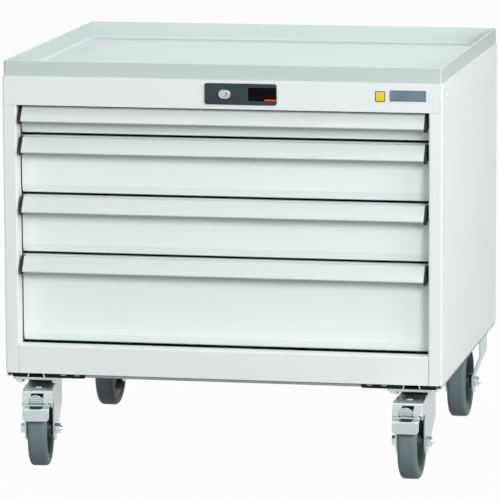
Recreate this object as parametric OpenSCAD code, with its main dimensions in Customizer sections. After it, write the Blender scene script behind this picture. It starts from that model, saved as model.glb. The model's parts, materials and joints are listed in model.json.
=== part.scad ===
// Rolling drawer cabinet: a sheet steel carcass on four casters, with a rimmed top tray, four
// drawers on telescopic slides, a central lock and two braked swivel casters at the front.
// Millimetres, +Z up, front towards -Y, origin on the floor at the middle of the overall box.

/* [Carcass] */
// Width over the side panels
carcass_w = 736; // [600:1:1000]
// Depth from the front frame to the back
carcass_d = 640; // [620:1:800]
// Height of the top cap's skirts
cap_h = 48; // [46:1:80]
// Height of the bottom rail
base_h = 48; // [30:1:90]
// Thickness of the carcass sheet
sheet = 1.5; // [1:0.1:2.2]
// Inner radius of the bends in the sheet
bend_r = 1.5; // [0.5:0.1:3]
// Width of the front stiles
stile_w = 23; // [22:0.5:40]
// Depth of the stiles' inward returns
stile_return = 28; // [26:1:40]
// Width of the side panels' rear flanges
rear_flange = 20; // [10:1:40]
// Depth of the lips folded behind the back panel's edges and the bottom rail
panel_lip = 14; // [8:1:20]
// Seam between the cap's skirts and what stands below them
cap_seam = 0.2; // [0.1:0.1:1]
// Width of a rail post from front to back
post_w = 40; // [25:1:60]
// Thickness of a rail post
post_t = 2; // [1.5:0.1:3]
// Pitch of the slots in the rail posts
post_pitch = 25; // [20:1:50]
// Length of a post slot
post_slot_l = 12; // [6:1:20]
// Height of a post slot
post_slot_h = 5; // [3:0.5:8]
// Distance of a cap screw from the front and the back
screw_in = 50; // [42:1:58]
// Diameter of a cap screw's head
screw_d = 9; // [6:0.5:12]
// Length of the stamped mark low on each side
mark_l = 40; // [20:1:80]
// Height of the stamped mark
mark_h = 3; // [2:0.5:6]
// Middle of the stamped mark behind the front frame
mark_in = 86; // [60:1:120]
// Punched dot behind the front frame
dot_in = 21; // [12:1:40]
// Height of mark and dot above the carcass foot
mark_z = 47; // [20:1:80]

/* [Tray] */
// Height of the tray rim above the cap
rim_h = 26; // [12:1:50]
// Depth of the seat that the tray drops into
tray_seat = 4; // [2:0.5:8]
// Gap between the tray and the cap's skirts
tray_fit = 0.3; // [0.1:0.1:1]
// Outer radius of the tray's corners
tray_r = 4; // [3.5:0.5:12]
// Radius of the bend between floor and rim
tray_fillet = 4; // [1:0.5:8]

/* [Drawers] */
// Height taken by the first drawer, at the top
pitch_1 = 52; // [50:1:120]
// Height taken by the second drawer
pitch_2 = 100; // [50:1:200]
// Height taken by the third drawer
pitch_3 = 100; // [50:1:200]
// Height taken by the fourth drawer
pitch_4 = 150; // [50:1:300]
// Gap between one drawer front and the next
front_gap = 5; // [3:0.5:8]
// Gap above the first drawer front
top_gap = 2; // [1:0.5:3]
// Gap beside a drawer front
side_gap = 2; // [1:0.5:4]
// Depth of a drawer front
front_depth = 18; // [14:1:30]
// Height of the slanted band at the foot of a front
band_h = 13; // [4:1:18]
// Set-back of the band at its foot
band_set = 4; // [1:0.5:8]
// Height of the lips behind a front
lip_h = 10; // [8:1:14]
// Length of a drawer box
box_l = 544; // [480:1:550]
// Thickness of the drawer box sheet
box_t = 1.2; // [0.8:0.1:2]
// Height of a box's underside above the foot of its front
box_lift = 5; // [3:0.5:7]
// Height of a box's rim below the top of its front
box_drop = 4; // [2:0.5:8]
// Outer radius of a box's corners
box_r = 5; // [3:0.5:10]
// Height of the folded hem on a box's rim
hem_h = 8; // [4:1:14]

/* [Handles] */
// Height of the slanted grip strip
grip_drop = 24; // [18:0.5:30]
// Reach of the grip's lower edge in front of the drawer front
grip_reach = 32; // [26:0.5:36]
// Depth of the flange along the grip's upper edge
grip_top = 15; // [10:0.5:18]
// Thickness of the grip strip
grip_t = 2; // [1.5:0.1:3]
// Radius of the bead along the grip's lower edge
bead_r = 2; // [1.5:0.1:3]
// Height of the grip's screw leg
leg_h = 12; // [8:0.5:16]
// Thickness of a grip end cap
end_t = 4; // [2:0.5:5]
// Distance of an end cap from the end of its front
end_in = 1.8; // [0.5:0.1:4]
// Radius of an end cap's lower corner
end_r = 5; // [3:0.5:6]

/* [Slides] */
// Height of a telescopic slide
slide_h = 28; // [24:0.5:30]
// Room for a slide beside the drawer box
slide_space = 16.5; // [14:0.5:22]
// Length of each slide member
slide_l = 540; // [480:1:545]
// Thickness of the slide members
slide_t = 1.5; // [1.2:0.1:2]
// Running gap between slide members
slide_gap = 0.4; // [0.3:0.05:0.6]
// Cover of the outer members' lips over the room beside the box
slide_cover = 6; // [5:0.5:8]

/* [Lock] */
// Width of the lock bezel
bezel_w = 120; // [90:1:160]
// Height of the lock bezel
bezel_h = 35; // [28:0.5:40]
// Thickness of the lock bezel
bezel_t = 2; // [1.5:0.1:4]
// Middle of the bezel, right of the cabinet's middle
bezel_x = 34; // [20:0.5:45]
// Middle of the lock below the top of the cap
lock_drop = 22.5; // [22:0.5:25]
// Middle of the lock housing from the bezel's left end
lock_in = 34; // [24:0.5:45]
// Width of the oval lock housing
lock_w = 20; // [18:0.5:26]
// Height of the oval lock housing
lock_h = 14.5; // [13:0.5:16]
// Stand of the lock housing in front of the bezel
lock_stand = 4; // [1:0.5:6]
// Width of the display recess
window_w = 46.5; // [30:0.5:60]
// Height of the display recess
window_h = 22.5; // [16:0.5:26]
// Diameter of the lock plug
plug_d = 11; // [9:0.5:12]
// Diameter of the lock shaft
shaft_d = 8; // [6:0.5:10]
// Radius of the crank pin's circle
crank_r = 8; // [6.5:0.1:8.2]
// Diameter of the crank pin
pin_d = 5; // [4:0.5:6]
// Width of the locking bar
bar_w = 24; // [22:1:30]
// Thickness of the locking bar
bar_t = 3; // [2:0.5:4]
// Locking bar behind the drawer boxes
bar_back = 17; // [16:0.5:20]

/* [Caster rails] */
// Height of the dark caster rails
rail_h = 7.5; // [7:0.5:20]
// Width of a caster rail
rail_w = 125; // [110:1:140]
// Thickness of the caster rails
rail_t = 2.5; // [2:0.1:3]
// Set-back of the rails behind the front frame
rail_in = 4; // [2:0.5:10]
// Outer edge of a rail inside the carcass side
rail_edge = 10; // [8:0.5:16]
// Foot width of the notch in a rail's end flange
notch_w = 29; // [20:1:36]
// Length of the two slots beside the notch
slot_l = 10; // [6:0.5:14]
// Height of the light base strips
strip_h = 6; // [4:0.5:8]
// Width of the base strips
strip_w = 20; // [12:1:40]

/* [Casters] */
// Overall height of a caster
caster_h = 150; // [148:0.5:160]
// Diameter of the wheels
wheel_d = 125; // [110:1:126]
// Width of the tyres
wheel_w = 32; // [26:1:36]
// Diameter of the rims
rim_d = 100; // [80:1:106]
// Radius of the tyres' shoulders
shoulder_r = 7; // [3:0.5:10]
// Diameter of the axles
axle_d = 10; // [8:0.5:12]
// Set-in of a caster plate from the outer edge of its rail
caster_in = 0; // [0:0.5:6]
// Swivel axis behind the front frame
swivel_in = 56; // [55:1:95]
// Turn of the left caster about its swivel axis
left_turn = 7; // [-45:1:45]
// Offset of the wheel's axle from the swivel axis
trail = 44; // [40:1:52]
// Rear axle in front of the carcass back
rear_in = 82; // [60:1:100]
// Plate width across the cabinet
plate_w = 82; // [80:1:95]
// Plate length along the cabinet
plate_l = 105; // [100:1:106]
// Thickness of the caster plates
plate_t = 4; // [3:0.5:5]
// Bolt spacing across the cabinet
bolt_x = 60; // [58:1:60]
// Bolt spacing along the cabinet
bolt_y = 80; // [80:1:84]
// Diameter of the caster bolts
bolt_d = 8; // [6:0.5:8]
// Thickness of the fork's sheet
fork_t = 3; // [2:0.1:3]
// Width over the fork's legs
fork_w = 50; // [50:1:56]
// Height of the swivel head between plate and fork
head_h = 8; // [7.6:0.1:9]
// Radius of the swivel head
head_r = 27; // [24:0.5:38]
// Radius of the fork's pressed edges
fork_r = 4; // [3.5:0.5:6]
// Diameter of the kingpin
kingpin_d = 14; // [10:0.5:20]
// Fork length behind the swivel axis
fork_back = 48; // [40:1:56]
// Width of the brake pedal's lip
pedal_w = 44; // [36:1:48]
// Width of the pedal's upper tab
tab_w = 26; // [20:1:32]
// Thickness of the pedal
pedal_t = 3; // [2:0.1:3.5]
// Reach of the pedal in front of the tyre
pedal_out = 12; // [11:0.5:20]

/* [Hidden] */

// Clearances: a fixed seat, a turning pin, a face that turns or slides past another
seat_gap = 0.15;
turn_gap = 0.05;
face_gap = 0.3;
// Cuts run this far past a face, and stops stand this far apart
past = 1;
// Smallest radius of a rounded corner
least_r = 0.5;
// Straight pieces that stand for one bend
bend_steps = 4;
$fn = 48;

paint = [0.92, 0.94, 0.94];
tray_grey = [0.80, 0.85, 0.85];
slate = [0.28, 0.33, 0.35];
zinc = [0.78, 0.81, 0.82];
anthracite = [0.15, 0.16, 0.17];
tyre_grey = [0.41, 0.47, 0.48];

// Heights and half widths of the carcass
pitch = [pitch_1, pitch_2, pitch_3, pitch_4];
opening_h = pitch_1 + pitch_2 + pitch_3 + pitch_4;
carcass_h = base_h + opening_h + cap_h;
side_h = base_h + opening_h;
carcass_z = caster_h + rail_h;
half_w = carcass_w / 2;
inner_half = half_w - sheet;
opening_half = half_w - stile_w;
corner_r = bend_r + sheet;
seat_z = carcass_h - tray_seat;
cap_under = seat_z - sheet;
back_y = carcass_d - 2 * sheet;
screw_l = 9;
screw_head_h = 1.5;
screw_taper = 3;

// Drawer fronts and boxes, counted from the top
front_half = opening_half - side_gap;
box_half = opening_half - slide_space;
box_y = stile_return + front_depth;
box_back = box_y + box_l;
slide_y = box_y + past;
slide_step = 1.5;
grip_half = front_half - end_in - end_t;
grip_run = grip_reach - grip_top;
grip_len = norm([grip_drop, grip_run]);
function pitch_sum(n) = n == 0 ? 0 : pitch[n - 1] + pitch_sum(n - 1);
function front_top(i) = side_h - top_gap - pitch_sum(i - 1);
function front_h(i) = pitch[i - 1] - front_gap;
function front_foot(i) = front_top(i) - front_h(i);
function box_foot(i) = front_foot(i) + box_lift;
function box_h(i) = front_h(i) - box_lift - box_drop;
function slide_z(i) = box_foot(i) + slide_h / 2 + past;

// Lock: plug in the right end of the oval housing, crank at the back, bar behind the boxes
lock_z = carcass_h - lock_drop;
lock_mid = bezel_x - bezel_w / 2 + lock_in;
lock_x = lock_mid + (lock_w - lock_h) / 2;
lock_front = -bezel_t - lock_stand;
lock_depth = 22;
lock_nut_t = 4;
lock_nut_rim = 3;
plug_stand = 0.5;
key_w = 1.8;
key_h = 6.8;
key_depth = 8;
bezel_r = 4;
window_r = 1.5;
window_depth = 0.8;
window_edge = 1;
crank_t = 6;
crank_rim = 2;
crank_angle = 225;
bar_y = box_back + bar_back;
bar_x = lock_x - crank_r * (1 + cos(45)) / 2;
bar_foot = 12;
bar_over = 5;
crank_gap = 3;
crank_y = bar_y - crank_t - crank_gap;
crank_disc_r = crank_r + pin_d / 2 + crank_rim;
pin_low = lock_z - crank_r * sin(45);
bar_lift = 2 * crank_r * sin(45);
slot_play = 0.5;

// Guides of the bar, on the bottom panel and under the cap, and the bearing of the shaft
guide_wall = 3;
guide_h = 15;
foot_guide_h = 36;
guide_drop = 8;
head_guide_z = lock_z - crank_disc_r - guide_h - guide_drop;
bearing_half = 10;
bearing_l = 14;
bearing_in = 20;

// Catch on each box and hook on the bar: lip foot above the box's underside, then outward steps
catch_foot = 16;
catch_h = bar_lift + 3;
catch_t = 2;
catch_out = 8;
catch_w = 20;
catch_bend = 1;
hook_t = 3;
hook_w = 16;
hook_bend = 0.2;

// Caster rails and what they carry
rail_outer = half_w - rail_edge;
caster_x = rail_outer - caster_in - plate_w / 2;
rail_inner = rail_outer - rail_w;
rail_bend = 1;
notch_slant = 2;
slot_h = 2.5;
slot_in = 14;
slot_pitch = 24;

// Casters
wheel_r = wheel_d / 2;
rim_r = rim_d / 2;
tyre_depth = wheel_r - rim_r + shoulder_r;
plate_z = caster_h - plate_t;
plate_r = 8;
fork_z = plate_z - head_h;
fork_axle_y = swivel_in - trail;
rear_axle_y = carcass_d - rear_in;
leg_in = fork_w / 2 - fork_t;
hub_gap = 0.5;
hub_half = leg_in - hub_gap;
leg_r = 20;
head_af = 15;
head_t = 8;
tip_h = 3;
tip_step = 1.5;
nut_af = 13;
nut_t = 5.5;
bolt_head_t = 4;
seal_t = 5;
seal_w = 12;
race_flare = 2;
rivet_t = 5;
rivet_rim = 2;
rivet_flare = 3;

// Fork in side view: crown, hood and face; the legs' knee, lobe and notch
lip_front = fork_axle_y - wheel_r - pedal_out;
hood_face = lip_front + 18;
hood_foot = wheel_r + 53;
crown_front = fork_axle_y + 2;
brow = [hood_face + 11.5, fork_z - 4];
chin = [hood_face, hood_foot];
fork_rear = swivel_in + fork_back;
fork_axle = [fork_axle_y, wheel_r];
knee = [fork_rear, fork_z - 48];
lobe = [hood_face + 5, hood_foot - 4];
notch = [fork_axle_y - leg_r, hood_foot - 3];
window_foot = hood_foot + 3.5;
window_top = fork_z - 8;
window_half = [9, 11];
nib_size = [9, 5, 2];

// Brake pedal in side view, from the leaning tab down to the lip; its pin lies behind the chin
pivot = [fork_axle_y - 47, wheel_r + 50];
pivot_d = 6;
pivot_wall = 2;
pivot_ear = 6;
tab_lean = 2;
tab_head = [lip_front - tab_lean, wheel_r + 69.5];
tab_foot = [lip_front + 11.5, wheel_r + 50.5];
ledge = [lip_front + 1.5, wheel_r + 44.5];
lip_foot = [lip_front, wheel_r + 25.5];
lip_r = 6;
pedal_shoulder = wheel_r + 54.5;
pedal_bend = 2;
arm_half = 8;
arm_t = 4;
ridge_r = 1.2;
ridge_short = 8;
ridge_first = 0.3;
ridge_step = 0.2;
pedal_slot_w = 21;
pedal_slot_h = 4;
pedal_hole_x = 10.5;
pedal_hole_d = 2.6;

// Rear caster legs: half length at the plate, then the step towards the wheel
bracket_half = 42;
bracket_drop = 8;
step_top = wheel_r + 51.5;
step_foot = wheel_r + 9.5;

// Rim section: hub, web and band
hub_wall = 8;
hub_slope = 3;
hub_root = 7;
web_half = 4;
band_t = 6;
band_slope = 4;
band_in = 2;
rim_play = 0.1;

// The overall box, from the tab of the straight right pedal to the back, is centred on the origin
front_reach = max(0, -tab_head[0]);
rear_reach = max(0, rear_axle_y + wheel_r - carcass_d);
front_y = (front_reach - carcass_d - rear_reach) / 2;

// Places: y runs back from the front frame, z up from the floor or from the carcass foot
module on_floor() translate([0, front_y, 0]) children();
module in_carcass() translate([0, front_y, carcass_z]) children();
module both_sides() {
    children();
    mirror([1, 0, 0]) children();
}
// Front casters: the right one stands straight, the left one is turned about its swivel axis
module at_right_caster() on_floor() translate([caster_x, 0, 0]) children();
module at_left_caster() on_floor() translate([-caster_x, swivel_in, 0]) rotate(left_turn)
    translate([0, -swivel_in, 0]) children();

// Flat outline (y, z) drawn out along x, and (x, z) drawn out along y
module along_x(x0, x1) translate([x0, 0, 0]) rotate([90, 0, 90]) linear_extrude(x1 - x0) children();
module along_y(y0, y1) translate([0, y1, 0]) rotate([90, 0, 0]) linear_extrude(y1 - y0) children();
// Round bar along x through a point (y, z)
module pin_x(at, d, l) translate([0, at[0], at[1]]) rotate([0, 90, 0]) cylinder(d = d, h = l, center = true);

// Folded sheet: a line of points along one face, the sheet's thickness to its left, bends as arcs
function unit(v) = v / norm(v);
function left_of(v) = [-v[1], v[0]];
function turned(v, a) = [v[0] * cos(a) - v[1] * sin(a), v[0] * sin(a) + v[1] * cos(a)];
function turn_of(d, e) = atan2(d[0] * e[1] - d[1] * e[0], d * e);
function bend_at(p, d, e, r) =
    let (a = turn_of(d, e))
    let (start = p - r * tan(abs(a) / 2) * d)
    let (hub = start + sign(a) * r * left_of(d))
    [
        for (k = [0 : bend_steps])
            [hub + turned(start - hub, a * k / bend_steps), left_of(turned(d, a * k / bend_steps))]
    ];
function fold_line(pts, t, r) =
    let (last = len(pts) - 1)
    [
        [pts[0], left_of(unit(pts[1] - pts[0]))],
        for (i = [1 : last - 1])
            let (d = unit(pts[i] - pts[i - 1]))
            let (e = unit(pts[i + 1] - pts[i]))
            each bend_at(pts[i], d, e, turn_of(d, e) > 0 ? r + t : r),
        [pts[last], left_of(unit(pts[last] - pts[last - 1]))]
    ];
function outer_face(line) = [for (s = line) s[0]];
function inner_face(line, t) = [for (s = line) s[0] + t * s[1]];
function backwards(pts) = [for (i = [len(pts) - 1 : -1 : 0]) pts[i]];
module folded(pts, t, r) {
    line = fold_line(pts, t, r);
    polygon(concat(outer_face(line), backwards(inner_face(line, t))));
}

// Rectangle with round corners, and an oval of the same kind
module round_rect(w, h, r) {
    square([w - 2 * r, h], center = true);
    square([w, h - 2 * r], center = true);
    for (sx = [-1, 1], sy = [-1, 1])
        translate([sx * (w / 2 - r), sy * (h / 2 - r)]) circle(r);
}
module oval(w, h) {
    square([w - h, h], center = true);
    for (sx = [-1, 1]) translate([sx * (w - h) / 2, 0]) circle(h / 2);
}
// Hexagon by its width across flats
module hexagon(af) circle(d = af / cos(30), $fn = 6);
// Point where the line from q touches the circle at c, on its right (1) or left (-1) side
function touch(c, r, q, side) =
    let (v = q - c)
    let (a = atan2(v[1], v[0]) - side * acos(r / norm(v)))
    c + r * [cos(a), sin(a)];

// Carcass

// Tray whose rim is folded double, with a round top edge and a hollow fillet round the floor
module tray_top() {
    w = carcass_w - 2 * (sheet + tray_fit);
    d = carcass_d - 2 * (sheet + tray_fit);
    rise = rim_h + tray_seat - sheet;
    color(tray_grey) in_carcass() translate([0, carcass_d / 2, seat_z]) {
        difference() {
            linear_extrude(rise) round_rect(w, d, tray_r);
            translate([0, 0, sheet]) linear_extrude(rise)
                round_rect(w - 4 * sheet, d - 4 * sheet, max(least_r, tray_r - 2 * sheet));
        }
        for (s = [-1, 1]) {
            translate([0, s * (d / 2 - sheet), rise]) rotate([0, 90, 0])
                cylinder(r = sheet, h = w - 2 * tray_r, center = true);
            translate([s * (w / 2 - sheet), 0, rise]) rotate([90, 0, 0])
                cylinder(r = sheet, h = d - 2 * tray_r, center = true);
        }
        for (k = [0 : 3]) {
            sx = k == 0 || k == 3 ? 1 : -1;
            sy = k < 2 ? 1 : -1;
            translate([sx * (w / 2 - tray_r), sy * (d / 2 - tray_r), rise]) rotate(90 * k)
                rotate_extrude(angle = 90) translate([tray_r - sheet, 0]) circle(sheet);
        }
        both_sides() along_y(tray_r - d / 2, d / 2 - tray_r) fillet_corner(w / 2 - 2 * sheet);
        for (s = [0, 180]) rotate(s) rotate(90)
            along_y(tray_r - w / 2, w / 2 - tray_r) fillet_corner(d / 2 - 2 * sheet);
    }
}
// Hollow corner fillet that stands on the tray floor against a wall at x
module fillet_corner(x) translate([x - tray_fillet, sheet]) difference() {
    square(tray_fillet);
    translate([0, tray_fillet]) circle(tray_fillet);
}

// Hood with a seat for the tray on top; its skirts end one seam above the side panels
module top_cap() color(paint) in_carcass() difference() {
    translate([0, carcass_d / 2, side_h + cap_seam]) linear_extrude(cap_h - cap_seam)
        round_rect(carcass_w, carcass_d, corner_r);
    translate([0, carcass_d / 2, side_h]) linear_extrude(cap_under - side_h) cap_inside();
    translate([0, carcass_d / 2, seat_z]) linear_extrude(tray_seat + past) cap_inside();
    translate([lock_mid, 0, lock_z]) along_y(-past, sheet + past)
        oval(lock_w + 2 * seat_gap, lock_h + 2 * seat_gap);
    for (y = [screw_in, carcass_d - screw_in])
        translate([0, y, side_h + cap_h / 2]) rotate([0, 90, 0])
            cylinder(d = screw_d / 2 + 2 * seat_gap, h = carcass_w + past, center = true);
}
module cap_inside() round_rect(carcass_w - 2 * sheet, carcass_d - 2 * sheet, bend_r);

// Screws through the side skirts, with pan heads
module cap_screws() color(zinc) in_carcass() both_sides()
    for (y = [screw_in, carcass_d - screw_in])
        translate([half_w, y, side_h + cap_h / 2]) rotate([0, 90, 0]) {
            cylinder(d1 = screw_d, d2 = screw_d - screw_taper, h = screw_head_h);
            translate([0, 0, past - screw_l]) cylinder(d = screw_d / 2, h = screw_l);
        }

// Right side panel in plan: return, stile, side, rear flange; a mark and a dot are pressed in low down
module side_panel() in_carcass() difference() {
    linear_extrude(side_h) folded(
        [
            [opening_half, stile_return],
            [opening_half, 0],
            [half_w, 0],
            [half_w, carcass_d],
            [half_w - rear_flange, carcass_d]
        ], sheet, bend_r);
    translate([half_w, mark_in, mark_z]) rotate([90, 0, 90])
        linear_extrude(sheet, center = true) oval(mark_l, mark_h);
    translate([half_w, dot_in, mark_z]) rotate([0, 90, 0]) cylinder(d = mark_h, h = sheet, center = true);
}
module right_side_panel() color(paint) side_panel();
module left_side_panel() color(paint) mirror([1, 0, 0]) side_panel();

// Back sheet with folded side edges, held in front of the rear flanges
module back_panel() {
    edge = inner_half - face_gap;
    color(paint) in_carcass() translate([0, 0, sheet]) linear_extrude(cap_under - sheet) folded(
        [
            [edge, back_y - panel_lip],
            [edge, back_y + sheet],
            [-edge, back_y + sheet],
            [-edge, back_y - panel_lip]
        ], sheet, bend_r);
}

module bottom_panel() color(paint) in_carcass() {
    translate([-opening_half, sheet, 0]) cube([2 * opening_half, back_y - sheet, sheet]);
    translate([-inner_half, stile_return + face_gap, 0])
        cube([2 * inner_half, back_y - stile_return - face_gap, sheet]);
}

module bottom_rail() color(paint) in_carcass() along_x(-opening_half, opening_half) folded(
    [
        [stile_return, base_h - panel_lip],
        [stile_return, base_h],
        [0, base_h],
        [0, 0]
    ], sheet, bend_r);

// Slotted posts between the slides and the side panels
module rail_posts() color(zinc) in_carcass() both_sides()
    for (y = [stile_return + post_t, slide_y + slide_l - post_w])
        difference() {
            translate([0, 0, sheet]) linear_extrude(cap_under - sheet) folded(
                [
                    [inner_half, y + post_w],
                    [opening_half, y + post_w],
                    [opening_half, y],
                    [inner_half, y]
                ], post_t, bend_r);
            for (z = [2 * post_pitch : post_pitch : side_h - post_pitch])
                translate([opening_half, y + post_w / 2, z])
                    cube([2 * post_t + past, post_slot_l, post_slot_h], center = true);
        }

// Slides: three nested channels, each one gap inside the last
function nest(k) = k * (slide_t + slide_gap);
module slide_member(k) {
    h = slide_h / 2 - nest(k);
    web = opening_half - nest(k);
    tip = opening_half - slide_space + slide_cover - k * slide_step;
    folded([[tip, -h], [web, -h], [web, h], [tip, h]], slide_t, least_r);
}
module drawer_member() {
    h = slide_h / 2 - nest(2);
    tip = opening_half - nest(2);
    folded([[tip, h], [box_half, h], [box_half, -h], [tip, -h]], slide_t, least_r);
}
module cabinet_rails() color(zinc) in_carcass() both_sides()
    for (i = [1 : 4])
        translate([0, 0, slide_z(i)]) along_y(slide_y, slide_y + slide_l) slide_member(0);
module drawer_slides(i) color(zinc) in_carcass() both_sides()
    translate([0, 0, slide_z(i)]) along_y(slide_y, slide_y + slide_l) slide_member(1);
module drawer_rails(i) color(zinc) in_carcass() both_sides()
    translate([0, 0, slide_z(i)]) along_y(slide_y, slide_y + slide_l) drawer_member();

// Drawers

module drawer_box(i) {
    w = 2 * box_half;
    z = box_foot(i);
    color(paint) in_carcass() {
        translate([0, box_y + box_l / 2, z]) {
            difference() {
                linear_extrude(box_h(i)) round_rect(w, box_l, box_r);
                translate([0, 0, box_t]) linear_extrude(box_h(i))
                    round_rect(w - 2 * box_t, box_l - 2 * box_t, box_r - box_t);
            }
            translate([0, 0, box_h(i) - hem_h]) linear_extrude(hem_h) difference() {
                round_rect(w - box_t, box_l - box_t, box_r - box_t / 2);
                round_rect(w - 4 * box_t, box_l - 4 * box_t, max(least_r, box_r - 2 * box_t));
            }
        }
        along_x(bar_x - catch_w / 2, bar_x + catch_w / 2) folded(
            [
                [box_back + catch_out, z + catch_foot],
                [box_back + catch_out, z + catch_foot + catch_h],
                [box_back - box_t / 2, z + catch_foot + catch_h]
            ], catch_t, catch_bend);
    }
}

// Front in section: upper lip, top, face, slanted band, foot, lower lip; closed by a plate at each end
module drawer_front(i) {
    top = front_top(i);
    foot = front_foot(i);
    face = stile_return;
    outline = [[box_y, top], [face, top], [face, foot + band_h], [face + band_set, foot], [box_y, foot]];
    line = concat([[box_y, top - lip_h]], outline, [[box_y, foot + lip_h]]);
    color(paint) in_carcass() {
        along_x(-front_half, front_half) folded(line, sheet, bend_r);
        both_sides() along_x(front_half - sheet, front_half) intersection() {
            polygon(outline);
            union() {
                folded(line, sheet, bend_r);
                translate([face + sheet / 2, foot + sheet / 2])
                    square([front_depth - sheet, front_h(i) - sheet]);
            }
        }
    }
}

// Grip strip in section: leg on the front, flange, slanted face, bead along the lower edge
function grip_point(way) = [stile_return - grip_top, 0] - way / grip_len * [grip_run, grip_drop];
function grip_inward(r) = r / grip_len * [grip_drop, -grip_run];
module grip_section() {
    edge = grip_point(grip_len - bead_r);
    folded([[stile_return, -leg_h], [stile_return, 0], grip_point(0), edge], grip_t, bend_r);
    translate(edge + grip_inward(bead_r)) circle(bead_r);
}
module drawer_handle(i) color(paint) in_carcass() translate([0, 0, front_top(i)])
    along_x(-grip_half, grip_half) grip_section();
// End caps: the space between the grip and the front, with a round corner below the bead
module drawer_end_caps(i) {
    edge = grip_point(grip_len - end_r / 2);
    corner = edge + grip_inward(end_r);
    foot = corner - [0, end_r];
    color(anthracite) in_carcass() translate([0, 0, front_top(i)]) both_sides()
        along_x(grip_half, grip_half + end_t) {
            polygon([[stile_return, 0], grip_point(0), edge, foot, [stile_return, foot[1] + end_r]]);
            translate(corner) circle(end_r);
        }
}

// Lock

module lock_bezel() color(slate) in_carcass() translate([0, 0, lock_z]) difference() {
    along_y(-bezel_t, 0) translate([bezel_x, 0]) round_rect(bezel_w, bezel_h, bezel_r);
    along_y(-bezel_t - past, past) translate([lock_mid, 0])
        oval(lock_w + 2 * seat_gap, lock_h + 2 * seat_gap);
    along_y(-bezel_t - past, window_depth - bezel_t)
        translate([bezel_x + bezel_w / 2 - window_w / 2 - window_edge, 0])
            round_rect(window_w, window_h, window_r);
}
// Housing through bezel and cap, with a flat nut behind the cap's front
module lock_housing() color(zinc) in_carcass() translate([0, 0, lock_z]) difference() {
    translate([lock_mid, 0, 0]) {
        along_y(lock_front, lock_depth) oval(lock_w, lock_h);
        along_y(sheet + face_gap, sheet + lock_nut_t)
            oval(lock_w + 2 * lock_nut_rim, lock_h + 2 * lock_nut_rim);
    }
    along_y(lock_front - past, lock_depth + past) translate([lock_x, 0]) circle(d = plug_d + 2 * turn_gap);
}
// Plug with a keyway
module lock_plug() color(zinc) in_carcass() translate([lock_x, 0, lock_z]) difference() {
    along_y(lock_front - plug_stand, lock_depth) circle(d = plug_d);
    along_y(lock_front - past, lock_front + key_depth) square([key_w, key_h], center = true);
}
// Shaft with the crank disc and its pin, which stands at the lower left when unlocked
module lock_shaft() color(zinc) in_carcass() translate([lock_x, 0, lock_z]) {
    along_y(lock_depth, crank_y) circle(d = shaft_d);
    along_y(crank_y, crank_y + crank_t) circle(crank_disc_r);
    along_y(crank_y, bar_y + bar_t - slot_play) rotate(crank_angle) translate([crank_r, 0]) circle(d = pin_d);
}
// Upright bar with a cross slot for the crank pin and a forward hook under each drawer's catch
module locking_bar() {
    top = pin_low + pin_d / 2 + bar_over;
    pin_slot = pin_d + 2 * slot_play;
    color(zinc) in_carcass() {
        difference() {
            translate([bar_x - bar_w / 2, bar_y, bar_foot]) cube([bar_w, bar_t, top - bar_foot]);
            translate([bar_x, 0, pin_low]) along_y(bar_y - past, bar_y + bar_t + past)
                square([crank_r * (1 - cos(45)) + pin_slot, pin_slot], center = true);
        }
        for (i = [1 : 4]) along_x(bar_x - hook_w / 2, bar_x + hook_w / 2) {
            finger = box_back + catch_out - catch_t - past;
            finger_top = box_foot(i) + catch_foot - past;
            arm_foot = finger_top - bar_lift - hook_t;
            folded(
                [
                    [finger - hook_t, finger_top],
                    [finger - hook_t, arm_foot],
                    [bar_y + bar_t / 2, arm_foot]
                ], hook_t, hook_bend);
        }
    }
}
// Sleeve round the bar
module bar_guide(z, h) translate([bar_x, bar_y + bar_t / 2, z]) linear_extrude(h) difference() {
    outer = 2 * (face_gap + guide_wall);
    square([bar_w + outer, bar_t + outer], center = true);
    square([bar_w + 2 * face_gap, bar_t + 2 * face_gap], center = true);
}
// Guides for the bar, on the bottom panel and hung from the cap, and the shaft's bearing under the cap
module lock_guides() color(anthracite) in_carcass() {
    bar_guide(sheet, foot_guide_h);
    bar_guide(head_guide_z, guide_h);
    translate([bar_x - bar_w / 2, bar_y + bar_t + face_gap, head_guide_z])
        cube([bar_w, guide_wall, cap_under - head_guide_z]);
    translate([lock_x, crank_y - bearing_in, lock_z]) along_y(0, bearing_l) difference() {
        translate([-bearing_half, -bearing_half])
            square([2 * bearing_half, bearing_half + cap_under - lock_z]);
        circle(d = shaft_d + 2 * turn_gap);
    }
}

// Base

// Channel under the carcass with end flanges; each flange has a notch over the caster and two slots
module caster_rails() color(anthracite) on_floor() both_sides() difference() {
    translate([0, 0, caster_h]) {
        along_y(rail_in, carcass_d - rail_in) folded(
            [
                [rail_inner, rail_h],
                [rail_inner, 0],
                [rail_outer, 0],
                [rail_outer, rail_h]
            ], rail_t, rail_bend);
        for (y = [rail_in, carcass_d - rail_in - rail_t]) along_y(y, y + rail_t) difference() {
            translate([rail_inner + rail_t / 2, rail_t / 2]) square([rail_w - rail_t, rail_h - rail_t / 2]);
            translate([caster_x, 0]) polygon([
                [-notch_w / 2, rail_t],
                [notch_slant - notch_w / 2, rail_h + past],
                [notch_w / 2 - notch_slant, rail_h + past],
                [notch_w / 2, rail_t]
            ]);
            for (k = [0, 1]) translate([rail_inner + slot_in + k * slot_pitch, (rail_h + rail_t) / 2])
                oval(slot_l, slot_h);
        }
    }
    for (y = [swivel_in, rear_axle_y]) caster_bolt_places(y) translate([0, 0, caster_h - past])
        cylinder(d = bolt_d + 2 * seat_gap, h = rail_t + 2 * past);
}
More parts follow.
